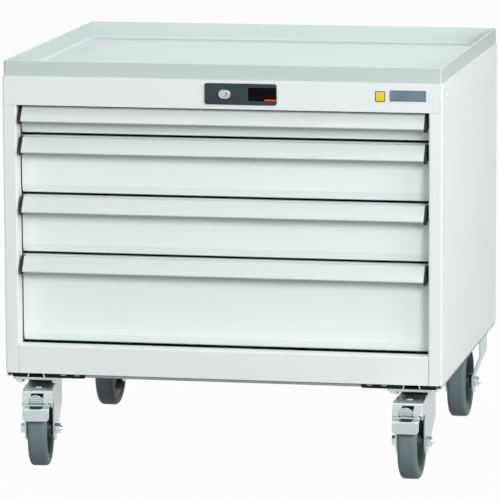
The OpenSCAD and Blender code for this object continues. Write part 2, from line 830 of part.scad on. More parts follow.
// Light strips under the edges of the carcass: across between the rails, and along each side
module base_strips() {
    inner = rail_inner - face_gap;
    outer = rail_outer + face_gap;
    color(paint) on_floor() translate([0, 0, carcass_z - strip_h]) {
        for (y = [rail_in, carcass_d - rail_in - strip_w])
            along_x(-inner, inner)
                folded([[y, strip_h], [y, 0], [y + strip_w, 0], [y + strip_w, strip_h]], sheet, bend_r);
        both_sides() along_y(rail_in, carcass_d - rail_in)
            folded([[outer, strip_h], [outer, 0], [inner_half, 0], [inner_half, strip_h]], sheet, least_r);
    }
}

// Casters

module caster_bolt_places(y)
    for (sx = [-1, 1], sy = [-1, 1])
        translate([caster_x + sx * bolt_x / 2, y + sy * bolt_y / 2, 0]) children();

// Plate bolts with head above and nut below, and the rear axle bolts
module caster_bolts() color(zinc) on_floor() both_sides() {
    for (y = [swivel_in, rear_axle_y]) caster_bolt_places(y) {
        translate([0, 0, caster_h + rail_t]) linear_extrude(bolt_head_t) hexagon(nut_af);
        translate([0, 0, plate_z - nut_t]) linear_extrude(nut_t) hexagon(nut_af);
        translate([0, 0, plate_z - nut_t - past])
            cylinder(d = bolt_d, h = plate_t + rail_t + nut_t + bolt_head_t + past);
    }
    translate([caster_x, rear_axle_y, 0]) axle_bolt();
}
// Bolt through two legs, with a head and a nut outside them and a chamfered tip
module axle_bolt() translate([0, 0, wheel_r]) rotate([0, 90, 0]) {
    cylinder(d = axle_d, h = fork_w + 2 * head_t, center = true);
    for (s = [-1, 1]) translate([0, 0, s * (fork_w + head_t) / 2])
        linear_extrude(head_t, center = true) hexagon(head_af);
    translate([0, 0, fork_w / 2 + head_t - past])
        cylinder(d1 = axle_d, d2 = axle_d - 2 * tip_step, h = tip_h + past);
}
// Plate outline with its four bolt holes
module plate_sheet() linear_extrude(plate_t) difference() {
    round_rect(plate_w, plate_l, plate_r);
    for (sx = [-1, 1], sy = [-1, 1])
        translate([sx * bolt_x / 2, sy * bolt_y / 2]) circle(d = bolt_d + 2 * seat_gap);
}
// Swivel plate with the pressed race and the riveted kingpin
module front_caster_plates() color(zinc) on_floor() both_sides() translate([caster_x, swivel_in, 0]) {
    race_low = fork_z + face_gap + seal_t;
    crown_low = fork_z - fork_t - face_gap;
    translate([0, 0, plate_z]) plate_sheet();
    translate([0, 0, race_low])
        cylinder(r1 = head_r - race_flare, r2 = head_r + race_flare, h = plate_z - race_low);
    translate([0, 0, crown_low - past]) cylinder(d = kingpin_d, h = race_low - crown_low + 2 * past);
    translate([0, 0, crown_low - rivet_t])
        cylinder(r1 = kingpin_d / 2 + rivet_rim, r2 = kingpin_d / 2 + rivet_rim + rivet_flare, h = rivet_t);
}
// Dark dust seal round the swivel race
module swivel_seals() color(anthracite) on_floor() both_sides()
    translate([caster_x, swivel_in, fork_z + face_gap]) difference() {
        cylinder(r = head_r, h = seal_t);
        translate([0, 0, -past]) cylinder(r = head_r - seal_w, h = seal_t + 2 * past);
    }

// Fork pressed from one sheet: the side outline drawn across, its edges rounded from above and in
// front, then hollowed so that crown, hood, face and two legs stay; the pedal's pin runs across
module fork() {
    skin = fold_line([[fork_rear, fork_z], [crown_front, fork_z], brow, chin], fork_t, fork_t);
    hollow = inner_face(skin, fork_t);
    below = wheel_r - 2 * leg_r;
    heel = touch(fork_axle, leg_r, knee, 1);
    difference() {
        union() {
            difference() {
                intersection() {
                    along_x(-fork_w / 2, fork_w / 2) {
                        polygon(concat(outer_face(skin), [lobe, notch, [notch[0], wheel_r], heel, knee]));
                        translate(fork_axle) circle(leg_r);
                        translate(pivot) circle(pivot_ear);
                    }
                    along_y(hood_face - past, fork_rear + past) fork_arch(fork_w / 2, fork_z, fork_r);
                    linear_extrude(fork_z + past) fork_plan(fork_w / 2, hood_face, fork_r);
                }
                intersection() {
                    along_x(-leg_in, leg_in) polygon(concat(
                        [[fork_rear + past, hollow[0][1]]],
                        hollow,
                        [[hollow[len(hollow) - 1][0], below], [fork_rear + past, below]]
                    ));
                    along_y(hood_face - past, fork_rear + 2 * past)
                        fork_arch(leg_in, fork_z - fork_t, fork_r - fork_t);
                }
                pin_x(fork_axle, axle_d + 2 * seat_gap, fork_w + past);
            }
            pin_x(pivot, pivot_d, fork_w - fork_t);
            translate([0, (crown_front + brow[0]) / 2, (fork_z + brow[1]) / 2]) cube(nib_size, center = true);
        }
        translate([0, swivel_in, fork_z - 2 * fork_t]) cylinder(d = kingpin_d + 2 * turn_gap, h = 4 * fork_t);
        along_y(hood_face - past, brow[0] + fork_t) polygon([
            [-window_half[0], window_foot],
            [-window_half[1], window_top],
            [window_half[1], window_top],
            [window_half[0], window_foot]
        ]);
    }
}
// Upright outline (x, z) with its top corners rounded, and plan (x, y) with its front corners rounded
module fork_arch(half, top, r) {
    translate([-half, 0]) square([2 * half, top - r]);
    translate([r - half, 0]) square([2 * (half - r), top]);
    for (s = [-1, 1]) translate([s * (half - r), top - r]) circle(r);
}
module fork_plan(half, front, r) {
    translate([-half, front + r]) square([2 * half, fork_rear - front]);
    translate([r - half, front]) square([2 * (half - r), fork_rear - front]);
    for (s = [-1, 1]) translate([s * (half - r), front + r]) circle(r);
}
module right_fork() color(zinc) at_right_caster() fork();
module left_fork() color(zinc) at_left_caster() fork();
module fork_axle_bolt() translate([0, fork_axle_y, 0]) axle_bolt();
module right_fork_axle() color(zinc) at_right_caster() fork_axle_bolt();
module left_fork_axle() color(zinc) at_left_caster() fork_axle_bolt();

// Rocker pedal: a bent plate, wide lip below and round ridged tab above, on a hub round the fork's pin
module brake_pedal() {
    tab_mid = tab_head[1] - tab_w / 2;
    slot_end = tab_foot[0] - pedal_t / 2;
    difference() {
        union() {
            intersection() {
                along_x(-pedal_w / 2, pedal_w / 2)
                    folded([tab_head, tab_foot, ledge, lip_foot], pedal_t, pedal_bend);
                along_y(tab_head[0] - past, pivot[0]) {
                    translate([0, tab_mid]) circle(d = tab_w);
                    translate([-tab_w / 2, ledge[1]]) square([tab_w, tab_mid - ledge[1]]);
                    translate([0, (lip_foot[1] + pedal_shoulder) / 2])
                        round_rect(pedal_w, pedal_shoulder - lip_foot[1], lip_r);
                }
            }
            pin_x(pivot, pivot_d + 2 * pivot_wall, 2 * arm_half);
            along_x(-arm_half, arm_half) translate([slot_end, pivot[1] - arm_t])
                square([pivot[0] - slot_end, arm_t]);
            for (k = [0 : 2]) {
                at = tab_head + (ridge_first + ridge_step * k) * (tab_foot - tab_head);
                pin_x(at, 2 * ridge_r, tab_w - ridge_short);
            }
        }
        pin_x(pivot, pivot_d + 2 * turn_gap, 2 * arm_half + past);
        translate([0, 0, (tab_foot[1] + ledge[1]) / 2]) along_y(lip_front - past, slot_end)
            oval(pedal_slot_w, pedal_slot_h);
        for (s = [-1, 1]) translate([s * pedal_hole_x, 0, pedal_shoulder - pedal_hole_d / 2])
            along_y(tab_head[0], tab_foot[0] + pedal_t) circle(d = pedal_hole_d);
    }
}
module right_brake_pedal() color(zinc) at_right_caster() brake_pedal();
module left_brake_pedal() color(zinc) at_left_caster() brake_pedal();

// Rear caster: plate with two legs that step inwards above the axle
module rear_bracket() {
    top_in = plate_w / 2 - fork_t;
    axle = [rear_axle_y, wheel_r];
    front_knee = [rear_axle_y - bracket_half, plate_z - bracket_drop];
    rear_knee = [rear_axle_y + bracket_half, plate_z - bracket_drop];
    translate([caster_x, 0, 0]) {
        translate([0, rear_axle_y, plate_z]) plate_sheet();
        both_sides() difference() {
            intersection() {
                along_y(rear_axle_y - plate_l / 2, rear_axle_y + plate_l / 2) folded(
                    [
                        [top_in, plate_z + plate_t / 2],
                        [top_in, step_top],
                        [leg_in, step_foot],
                        [leg_in, 0]
                    ], fork_t, fork_t);
                along_x(0, plate_w) {
                    polygon([
                        [rear_axle_y - bracket_half, caster_h],
                        front_knee,
                        touch(axle, leg_r, front_knee, -1),
                        axle,
                        touch(axle, leg_r, rear_knee, 1),
                        rear_knee,
                        [rear_axle_y + bracket_half, caster_h]
                    ]);
                    translate(axle) circle(leg_r);
                }
            }
            pin_x(axle, axle_d + 2 * seat_gap, plate_w);
        }
    }
}
module rear_caster_brackets() color(zinc) on_floor() both_sides() rear_bracket();

// Wheel sections, radius to the right
module tyre_section() intersection() {
    translate([rim_r, -wheel_w / 2]) square([wheel_r - rim_r, wheel_w]);
    translate([wheel_r - tyre_depth, 0]) round_rect(2 * tyre_depth, wheel_w, shoulder_r);
}
// Rim: hub, thin web, flared band
module rim_section() {
    bore = axle_d / 2 + turn_gap;
    band_half = wheel_w / 2 - band_in;
    half = [
        [bore, hub_half],
        [bore + hub_wall, hub_half],
        [bore + hub_wall + hub_slope, hub_root],
        [rim_r - band_t - band_slope, web_half],
        [rim_r - band_t, band_half],
        [rim_r - rim_play, band_half]
    ];
    polygon(concat(half, [for (p = backwards(half)) [p[0], -p[1]]]));
}
module wheel(y) translate([0, y, wheel_r]) rotate([0, 90, 0]) rotate_extrude($fn = 96) children();
module tyre(y) color(tyre_grey) wheel(y) tyre_section();
module rim(y) color(anthracite) wheel(y) rim_section();

tray_top();
top_cap();
left_side_panel();
right_side_panel();
back_panel();
bottom_panel();
bottom_rail();
rail_posts();
cabinet_rails();
cap_screws();
lock_bezel();
lock_housing();
lock_guides();
lock_plug();
lock_shaft();
locking_bar();
caster_rails();
base_strips();
caster_bolts();
front_caster_plates();
swivel_seals();
rear_caster_brackets();
left_fork();
left_fork_axle();
left_brake_pedal();
right_fork();
right_fork_axle();
right_brake_pedal();
at_left_caster() tyre(fork_axle_y);  // front_left_tyre
at_left_caster() rim(fork_axle_y);  // front_left_rim
at_right_caster() tyre(fork_axle_y);  // front_right_tyre
at_right_caster() rim(fork_axle_y);  // front_right_rim
on_floor() translate([-caster_x, 0, 0]) tyre(rear_axle_y);  // rear_left_tyre
on_floor() translate([-caster_x, 0, 0]) rim(rear_axle_y);  // rear_left_rim
on_floor() translate([caster_x, 0, 0]) tyre(rear_axle_y);  // rear_right_tyre
on_floor() translate([caster_x, 0, 0]) rim(rear_axle_y);  // rear_right_rim
for (i = [1 : 4]) {
    drawer_box(i);
    drawer_front(i);
    drawer_handle(i);
    drawer_end_caps(i);
    drawer_rails(i);
    drawer_slides(i);
}
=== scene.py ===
import json
import math
import bpy
import numpy as np
from mathutils import Matrix, Vector


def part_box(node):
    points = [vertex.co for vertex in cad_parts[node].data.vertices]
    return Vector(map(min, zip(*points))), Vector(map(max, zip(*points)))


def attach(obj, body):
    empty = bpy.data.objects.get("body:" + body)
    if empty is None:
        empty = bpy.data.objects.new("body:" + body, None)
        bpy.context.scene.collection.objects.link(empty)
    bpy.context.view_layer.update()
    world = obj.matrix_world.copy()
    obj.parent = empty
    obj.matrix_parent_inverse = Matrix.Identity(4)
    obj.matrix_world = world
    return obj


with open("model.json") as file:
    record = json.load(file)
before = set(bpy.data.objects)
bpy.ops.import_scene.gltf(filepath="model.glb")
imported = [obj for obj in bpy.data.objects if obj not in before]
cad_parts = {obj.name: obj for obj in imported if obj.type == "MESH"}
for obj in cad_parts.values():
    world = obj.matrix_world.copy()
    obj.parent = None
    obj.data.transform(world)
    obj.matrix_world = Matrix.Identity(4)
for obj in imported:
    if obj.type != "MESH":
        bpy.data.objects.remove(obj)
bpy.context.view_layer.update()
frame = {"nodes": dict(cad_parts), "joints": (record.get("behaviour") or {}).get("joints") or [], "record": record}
scene = bpy.context.scene
scene.view_settings.view_transform = "Standard"

mm = 0.001


# Colour written as 0-255 screen values, turned into the linear values that shaders take
def screen(r, g, b):
    c = np.array([r, g, b]) / 255
    lin = np.where(c <= 0.04045, c / 12.92, ((c + 0.055) / 1.055) ** 2.4)
    return (*[float(v) for v in lin], 1.0)


# One shader node; an input that is a socket gets linked, anything else is set
def addNode(tree, kind, inputs=None, **settings):
    node = tree.nodes.new(kind)
    for key, value in settings.items():
        setattr(node, key, value)
    for key, value in (inputs or {}).items():
        if isinstance(value, bpy.types.NodeSocket):
            tree.links.new(value, node.inputs[key])
        else:
            node.inputs[key].default_value = value
    return node


def newMaterial(name):
    material = bpy.data.materials.new(name)
    material.use_nodes = True
    tree = material.node_tree
    shader = tree.nodes["Principled BSDF"]
    where = addNode(tree, "ShaderNodeTexCoord").outputs["Object"]
    return material, tree, shader, where


# Noise whose patches are about one cell across, in metres, longer where the stretch is small
def noise(tree, where, cell, detail=2.0, stretch=(1, 1, 1)):
    turned = addNode(tree, "ShaderNodeMapping", {"Vector": where, "Scale": stretch})
    return addNode(tree, "ShaderNodeTexNoise",
                   {"Vector": turned.outputs[0], "Scale": 1 / cell, "Detail": detail}).outputs["Fac"]


# A value between start and end carried over to the range from low to high
def spread(tree, value, low, high, start=0.3, end=0.7):
    ends = {"Value": value, "From Min": start, "From Max": end, "To Min": low, "To Max": high}
    return addNode(tree, "ShaderNodeMapRange", ends).outputs[0]


def blendColour(tree, fac, first, second):
    node = addNode(tree, "ShaderNodeMix", data_type="RGBA")
    for socket, value in (("Factor_Float", fac), ("A_Color", first), ("B_Color", second)):
        target = next(s for s in node.inputs if s.identifier == socket)
        if isinstance(value, bpy.types.NodeSocket):
            tree.links.new(value, target)
        else:
            target.default_value = value
    return next(s for s in node.outputs if s.identifier == "Result_Color")


# Lean of the normal at which the painted edge highlight is full, and at which it is gone
edgeLean = {"highlightFull": 0.7, "flat": 0.999, "samples": 6}


# Mask of the painted edge highlight: how far the normal of a slightly rounded edge leans from the flat face, 0 on
# faces
def edgeHighlightMask(tree, radius, gain):
    soft = addNode(tree, "ShaderNodeBevel", {"Radius": radius}, samples=edgeLean["samples"])
    flat = addNode(tree, "ShaderNodeNewGeometry")
    lean = addNode(tree, "ShaderNodeVectorMath",
                   {0: soft.outputs[0], 1: flat.outputs["Normal"]}, operation="DOT_PRODUCT")
    mask = spread(tree, lean.outputs["Value"], gain, 0.0, start=edgeLean["highlightFull"], end=edgeLean["flat"])
    return soft.outputs[0], mask


# A linear colour made lighter or darker, no channel above 1
def scaled(colour, gain):
    return (*[min(1.0, c * gain) for c in colour[:3]], 1.0)


# Powder coat: fine peel in the surface, broad faint clouds in tone, and a painted highlight that makes every edge
# a little paler
def powderCoat(name, look):
    material, tree, shader, where = newMaterial(name)
    normal, highlitEdges = edgeHighlightMask(tree, look["edgeRadius"], look["edgeHighlightGain"])
    shader.inputs["Specular IOR Level"].default_value = look["specular"]
    clouds = noise(tree, where, look["cloudCell"], detail=3)
    body = blendColour(tree, spread(tree, clouds, 0, 1), scaled(look["colour"], 1 - look["clouds"]),
                       scaled(look["colour"], 1 + look["clouds"]))
    # Painted highlight: the colour turns paler along rounded edges
    colour = blendColour(tree, highlitEdges, body, scaled(look["colour"], look["edgeHighlightTone"]))
    tree.links.new(colour, shader.inputs["Base Color"])
    smears = noise(tree, where, look["smearCell"], detail=4)
    tree.links.new(spread(tree, smears, look["gloss"][0], look["gloss"][1]), shader.inputs["Roughness"])
    peel = noise(tree, where, look["peelCell"], detail=2)
    bump = addNode(tree, "ShaderNodeBump", {"Height": peel, "Strength": look["peelStrength"],
                                            "Distance": look["peelDepth"], "Normal": normal})
    tree.links.new(bump.outputs[0], shader.inputs["Normal"])
    return material


# Bare or plated metal: streaks along one direction, spangle patches, and a painted highlight that makes every edge
# paler
def platedMetal(name, look):
    material, tree, shader, where = newMaterial(name)
    normal, highlitEdges = edgeHighlightMask(tree, look["edgeRadius"], look["edgeHighlightGain"])
    shader.inputs["Metallic"].default_value = 1.0
    streaks = noise(tree, where, look["streakCell"], detail=3, stretch=look["stretch"])
    cells = addNode(tree, "ShaderNodeTexVoronoi", {"Vector": where, "Scale": 1 / look["spangleCell"]})
    patches = addNode(tree, "ShaderNodeSeparateColor", {"Color": cells.outputs["Color"]}).outputs[0]
    tone = spread(tree, patches, 0, 1, start=0, end=1)
    body = blendColour(tree, tone, scaled(look["colour"], 1 - look["spangle"]),
                       scaled(look["colour"], 1 + look["spangle"]))
    # Painted highlight: the colour turns paler along rounded edges
    colour = blendColour(tree, highlitEdges, body, scaled(look["colour"], look["edgeHighlightTone"]))
    tree.links.new(colour, shader.inputs["Base Color"])
    tree.links.new(spread(tree, streaks, look["gloss"][0], look["gloss"][1]), shader.inputs["Roughness"])
    bump = addNode(tree, "ShaderNodeBump", {"Height": streaks, "Strength": look["streakStrength"],
                                            "Distance": look["streakDepth"], "Normal": normal})
    tree.links.new(bump.outputs[0], shader.inputs["Normal"])
    return material


# Moulded plastic or rubber: fine grain, faint clouds, and a painted highlight that makes every edge paler
def moulded(name, look):
    material, tree, shader, where = newMaterial(name)
    normal, highlitEdges = edgeHighlightMask(tree, look["edgeRadius"], look["edgeHighlightGain"])
    shader.inputs["Specular IOR Level"].default_value = look["specular"]
    clouds = noise(tree, where, look["cloudCell"], detail=4)
    body = blendColour(tree, spread(tree, clouds, 0, 1), scaled(look["colour"], 1 - look["clouds"]),
                       scaled(look["colour"], 1 + look["clouds"]))
    # Painted highlight: the colour turns paler along rounded edges
    colour = blendColour(tree, highlitEdges, body, scaled(look["colour"], look["edgeHighlightTone"]))
    tree.links.new(colour, shader.inputs["Base Color"])
    grain = noise(tree, where, look["grainCell"], detail=3)
    tree.links.new(spread(tree, grain, look["gloss"][0], look["gloss"][1]), shader.inputs["Roughness"])
    bump = addNode(tree, "ShaderNodeBump", {"Height": grain, "Strength": look["grainStrength"],
                                            "Distance": look["grainDepth"], "Normal": normal})
    tree.links.new(bump.outputs[0], shader.inputs["Normal"])
    return material


paintLook = {
    "colour": screen(236, 242, 241), "clouds": 0.012, "cloudCell": 0.35, "smearCell": 0.05,
    "gloss": (0.42, 0.54), "specular": 0.32, "peelCell": 0.0014, "peelDepth": 0.00004, "peelStrength": 0.25,
    "edgeRadius": 0.0008, "edgeHighlightGain": 0.5, "edgeHighlightTone": 1.04,
}
metalLook = {
    "colour": screen(208, 214, 215), "spangle": 0.06, "spangleCell": 0.006, "streakCell": 0.002,
    "stretch": (1, 0.12, 1), "gloss": (0.2, 0.36), "streakDepth": 0.00005, "streakStrength": 0.2,
    "edgeRadius": 0.0006, "edgeHighlightGain": 0.6, "edgeHighlightTone": 1.15,
}
plasticLook = {
    "colour": screen(24, 27, 28), "clouds": 0.08, "cloudCell": 0.03, "grainCell": 0.0009,
    "gloss": (0.38, 0.55), "specular": 0.35, "grainDepth": 0.00006, "grainStrength": 0.3,
    "edgeRadius": 0.0006, "edgeHighlightGain": 0.5, "edgeHighlightTone": 1.7,
}

# Finish of each of the record's slots
finishes = {
    "carcass_paint": powderCoat("carcassPaint", paintLook),
    # Painted light: the drawer paint is set lighter than the carcass paint to make up for the shade on the
    # set-back drawer fronts
    "drawer_paint": powderCoat("drawerPaint", {**paintLook, "colour": screen(239, 248, 247)}),
    "grip_paint": powderCoat("gripPaint", {**paintLook, "colour": screen(220, 229, 225), "edgeHighlightTone": 1.08}),
    "tray_paint": powderCoat("trayPaint", {**paintLook, "colour": screen(202, 214, 212), "specular": 0.04,
                                           "gloss": (0.5, 0.62), "edgeHighlightTone": 1.1}),
    "bezel_plastic": moulded("bezelPlastic", {**plasticLook, "colour": screen(48, 63, 66), "specular": 0.2}),
    "lock_nickel": platedMetal("lockNickel", {**metalLook, "colour": screen(196, 198, 195),
                                              "gloss": (0.16, 0.26)}),
    "black_plastic": moulded("blackPlastic", plasticLook),
    "galvanised_steel": platedMetal("galvanisedSteel", {**metalLook, "colour": screen(186, 192, 194),
                                                        "spangle": 0.12, "gloss": (0.3, 0.45)}),
    "bright_steel": platedMetal("brightSteel", {**metalLook, "gloss": (0.15, 0.28)}),
    "caster_zinc": platedMetal("casterZinc", {**metalLook, "colour": screen(190, 202, 201), "spangle": 0.03,
                                              "gloss": (0.26, 0.36), "streakStrength": 0.06,
                                              "edgeRadius": 0.0012}),
    "rail_paint": powderCoat("railPaint", {**paintLook, "colour": screen(17, 23, 25), "clouds": 0.06,
                                           "specular": 0.12, "edgeHighlightTone": 1.8}),
    "tyre_rubber": moulded("tyreRubber", {**plasticLook, "colour": screen(105, 123, 125), "clouds": 0.05,
                                          "gloss": (0.55, 0.72), "edgeHighlightTone": 1.15}),
    "rim_plastic": moulded("rimPlastic", {**plasticLook, "colour": screen(50, 60, 63)}),
}

# Every node takes the finish of its slot in the record; the strips under the carcass take a darker grey than the
# carcass paint
ownFinishes = {"base_strips": powderCoat("stripPaint", {**paintLook, "colour": screen(160, 173, 172)})}
for part in frame["record"]["subparts"]:
    surface = frame["nodes"][part["node"]].data
    surface.materials.clear()
    surface.materials.append(ownFinishes.get(part["node"], finishes[part["material_slot"]]))
print("finishes:", len(finishes))


# A grid of points (rows, columns, 3) becomes a mesh object: each row closes round, each end row gets one face
def gridPiece(name, points, material, body, smooth=True):
    rows, cols = points.shape[:2]
    here = np.arange(rows * cols).reshape(rows, cols)
    after = np.roll(here, -1, axis=1)
    quads = np.stack([here[:-1], after[:-1], after[1:], here[1:]], axis=-1).reshape(-1, 4)
    faces = quads.tolist() + [here[0][::-1].tolist(), here[-1].tolist()]
    mesh = bpy.data.meshes.new(name)
    mesh.from_pydata(points.reshape(-1, 3).tolist(), [], faces)
    mesh.validate()
    mesh.materials.append(material)
    mesh.polygons.foreach_set("use_smooth", np.full(len(mesh.polygons), smooth))
    mesh.update()
    piece = bpy.data.objects.new(name, mesh)
    scene.collection.objects.link(piece)
    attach(piece, body)


# Rounded rectangle: straight sides joined by quarter circles, points and outward normals, counter-clockwise
def roundedOutline(width, height, radius, steps=6):
    turn = np.linspace(0, math.pi / 2, steps)
    angles = np.concatenate([turn + k * math.pi / 2 for k in range(4)])
    normals = np.stack([np.cos(angles), np.sin(angles)], axis=-1)
    corner = np.repeat([[1, 1], [-1, 1], [-1, -1], [1, -1]], steps, axis=0)
    centres = corner * np.array([width / 2 - radius, height / 2 - radius])
    return centres + radius * normals, normals


# Points turned about an upright axis: x and y mixed by the angle's cosine and sine
def turnAbout(points, angle, axis):
    c, s = math.cos(angle), math.sin(angle)
    away = points[..., :2] - np.array(axis)
    points[..., 0] = axis[0] + c * away[..., 0] - s * away[..., 1]
    points[..., 1] = axis[1] + s * away[..., 0] + c * away[..., 1]
    return points


# Flat plate on a face that looks to -Y: its outline stands up from the face,
# and a quarter round turns it in at the top
def facePlate(name, size, material, body, steps=5):
    outline, normals = roundedOutline(size["width"], size["height"], size["corner"])
    sweep = np.linspace(0, math.pi / 2, steps)
    inset = np.concatenate([[0], size["edge"] * (1 - np.cos(sweep))])
    lift = np.concatenate([[0], size["thick"] - size["edge"] + size["edge"] * np.sin(sweep)])
    flat = outline[None] - inset[:, None, None] * normals[None]
    points = np.empty((len(inset), len(outline), 3))
    points[..., 0] = size["centre"][0] + flat[..., 0]
    points[..., 2] = size["centre"][2] + flat[..., 1]
    points[..., 1] = size["centre"][1] - lift[:, None]
    if "turn" in size:
        points = turnAbout(points, *size["turn"])
    gridPiece(name, points, material, body)


# Sheet trim on a face that looks to -Y: an outline given by its corners, drawn forward by its thickness
def sticker(name, corners, back, thick, material, body):
    flat = np.array(corners, float)
    points = np.empty((2, len(flat), 3))
    points[..., 0] = flat[None, :, 0]
    points[..., 2] = flat[None, :, 1]
    points[0, :, 1] = back
    points[1, :, 1] = back - thick
    gridPiece(name, points, material, body, smooth=False)


# Places from the CAD: the cap, whose front is the frame's face, the bezel, the caster rails and the joints
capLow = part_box("top_cap")[0]
frontFace = capLow.y
bezelLow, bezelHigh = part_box("lock_bezel")
bezelFace = bezelLow.y
railLow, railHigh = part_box("caster_rails")
joints = {joint["name"]: joint for joint in frame["joints"]}

# Dark display glass, left blank: in from the bezel's right edge, down in its recess, half way up
glassPlace = {
    "width": 46.1 * mm, "height": 22.1 * mm, "corner": 1.4 * mm, "edge": 0.15 * mm, "thick": 0.6 * mm,
    "centre": (bezelHigh.x - 24.25 * mm, bezelFace + 0.8 * mm, (bezelLow.z + bezelHigh.z) / 2),
}
glassLook = {**plasticLook, "colour": screen(6, 9, 11), "clouds": 0.2, "gloss": (0.12, 0.18),
             "specular": 0.05, "grainStrength": 0.02, "edgeHighlightTone": 3}
facePlate("displayGlass", glassPlace, moulded("displayGlassBlack", glassLook), "cabinet")

# Orange bar along the glass's foot, its left end slanted
barPlace = {"left": 19.6 * mm, "right": 0.3 * mm, "foot": 0.5 * mm, "top": 3.1 * mm, "slant": 1.4 * mm,
            "thick": 0.15 * mm}
barLook = {**plasticLook, "colour": screen(238, 72, 14), "clouds": 0.04, "edgeHighlightTone": 1.1}
glassRight = glassPlace["centre"][0] + glassPlace["width"] / 2
glassFoot = glassPlace["centre"][2] - glassPlace["height"] / 2
sticker("displayBar",
        [(glassRight - barPlace["left"], glassFoot + barPlace["foot"]),
         (glassRight - barPlace["right"], glassFoot + barPlace["foot"]),
         (glassRight - barPlace["right"], glassFoot + barPlace["top"]),
         (glassRight - barPlace["left"] + barPlace["slant"], glassFoot + barPlace["top"])],
        glassPlace["centre"][1] - glassPlace["thick"], barPlace["thick"],
        moulded("displayBarOrange", barLook), "cabinet")

# Two small plates on the cap's right, both blank: a yellow square with a dark border, and a slate plate
signPlace = {
    "width": 16.6 * mm, "height": 17.6 * mm, "corner": 2 * mm, "edge": 0.2 * mm, "thick": 0.5 * mm,
    "centre": (265 * mm, frontFace, capLow.z + 25.7 * mm),
}
yellowPlace = {**signPlace, "width": 14.2 * mm, "height": 15.2 * mm, "corner": 1.2 * mm, "thick": 0.7 * mm}
signBorder = {**plasticLook, "colour": screen(64, 62, 40)}
signFace = {**plasticLook, "colour": screen(226, 212, 40), "clouds": 0.03, "edgeHighlightTone": 1.05}
facePlate("signBorder", signPlace, moulded("signBorderDark", signBorder), "cabinet")
facePlate("signFace", yellowPlace, moulded("signYellow", signFace), "cabinet")
namePlace = {
    "width": 59.8 * mm, "height": 18.1 * mm, "corner": 0.6 * mm, "edge": 0.25 * mm, "thick": 0.8 * mm,
    "centre": (310.8 * mm, frontFace, capLow.z + 27.4 * mm),
}
nameLook = {**plasticLook, "colour": screen(106, 128, 140), "clouds": 0.12, "cloudCell": 0.02,
            "edgeHighlightTone": 1.3}
facePlate("namePlate", namePlace, moulded("namePlateSlate", nameLook), "cabinet")

# Painted highlight: bright metal strips along the notch outline in each caster rail's front flange
notchPlace = {"foot": 14.3 * mm, "top": 12 * mm, "width": 1.3 * mm, "thick": 0.35 * mm,
              "footGap": 0.4 * mm, "topGap": 0.2 * mm}
# Bright metal that stands in for the highlight on the notch outline
notchHighlight = platedMetal("notchEdgeHighlight", {**metalLook, "colour": screen(236, 240, 240)})
for sideName, side in (("left", -1), ("right", 1)):
    middle = joints[sideName + "_swivel"]["pos_m"][0]
    half = notchPlace["width"] / 2
    low = railLow.z + notchPlace["footGap"]
    high = railHigh.z - notchPlace["topGap"]
    for endName, end in (("Outer", side), ("Inner", -side)):
        foot = middle + end * notchPlace["foot"]
        top = middle + end * notchPlace["top"]
        sticker(sideName + "Notch" + endName,
                [(foot - half, low), (foot + half, low), (top + half, high), (top - half, high)],
                railLow.y, notchPlace["thick"], notchHighlight, "cabinet")

# Pale backing behind the two slots in each rail's front flange,
# the first one measured from the rail's outer edge
slotPlace = {"width": 9.6 * mm, "height": 2.2 * mm, "corner": 1.1 * mm, "edge": 0.2 * mm, "thick": 1.4 * mm,
             "first": 111 * mm, "pitch": 24 * mm, "deep": 2 * mm, "rise": 5 * mm}
slotPaint = powderCoat("slotBacking", {**paintLook, "colour": screen(176, 188, 187)})
for sideName, side in (("left", -1), ("right", 1)):
    for k in range(2):
        across = railHigh.x - slotPlace["first"] + k * slotPlace["pitch"]
        centre = (side * across, railLow.y + slotPlace["deep"], railLow.z + slotPlace["rise"])
        slot = {**slotPlace, "centre": centre}
        facePlate(sideName + "SlotBacking" + str(k + 1), slot, slotPaint, "cabinet")

# Dark pad in each brake pedal's slot, partly the brown rubber seen there and partly painted shade in the slot, and
# black discs in its two holes that are painted shade. Both are measured from the pedal's pivot and turned with the
# pedal about it
padPlace = {"width": 20.4 * mm, "height": 3.4 * mm, "corner": 1.7 * mm, "edge": 0.2 * mm, "thick": 0.6 * mm,
            "fromPivot": (0, -17.5 * mm, -2.5 * mm)}
holeShadePlace = {"width": 2.4 * mm, "height": 2.4 * mm, "corner": 1.2 * mm, "edge": 0.2 * mm, "thick": 1.2 * mm,
            "fromPivot": (10.5 * mm, -17.6 * mm, 3.2 * mm)}
padLook = {**plasticLook, "colour": screen(52, 50, 42), "specular": 0.1, "edgeHighlightTone": 1.2}
# Partly the brown rubber seen in the slot, partly painted shade
padRubberAndShade = moulded("pedalPadAndShade", padLook)
# Painted shade: black discs standing for the shade inside the pedal's holes
holeShadeBlack = moulded("pedalHoleShade", {**plasticLook, "colour": screen(12, 14, 15), "specular": 0.1})
for sideName in ("left", "right"):
    brake = joints[sideName + "_brake"]
    pivot = Vector(brake["pos_m"])
    turn = (math.atan2(brake["axis"][1], brake["axis"][0]), (pivot.x, pivot.y))
    pad = {**padPlace, "centre": pivot + Vector(padPlace["fromPivot"]), "turn": turn}
    facePlate(sideName + "PedalPad", pad, padRubberAndShade, sideName + "_pedal")
    out, back, rise = holeShadePlace["fromPivot"]
    for k, end in enumerate((-1, 1)):
        holeShade = {**holeShadePlace, "centre": pivot + Vector((end * out, back, rise)), "turn": turn}
        facePlate(sideName + "PedalHoleShade" + str(k + 1), holeShade, holeShadeBlack, sideName + "_pedal")
print("plates and trim set")


# Camera where the photograph was taken from, worked out from the carcass edges
cameraPlace = {
    "azimuth": 11.158, "elevation": 8.888, "roll": -0.227, "distance": 7.4693,
    "target": (-0.0107, 0.01225, 0.3275), "focalPixels": 4353.8, "imagePixels": 500,
    "clipEnd": 100,
}


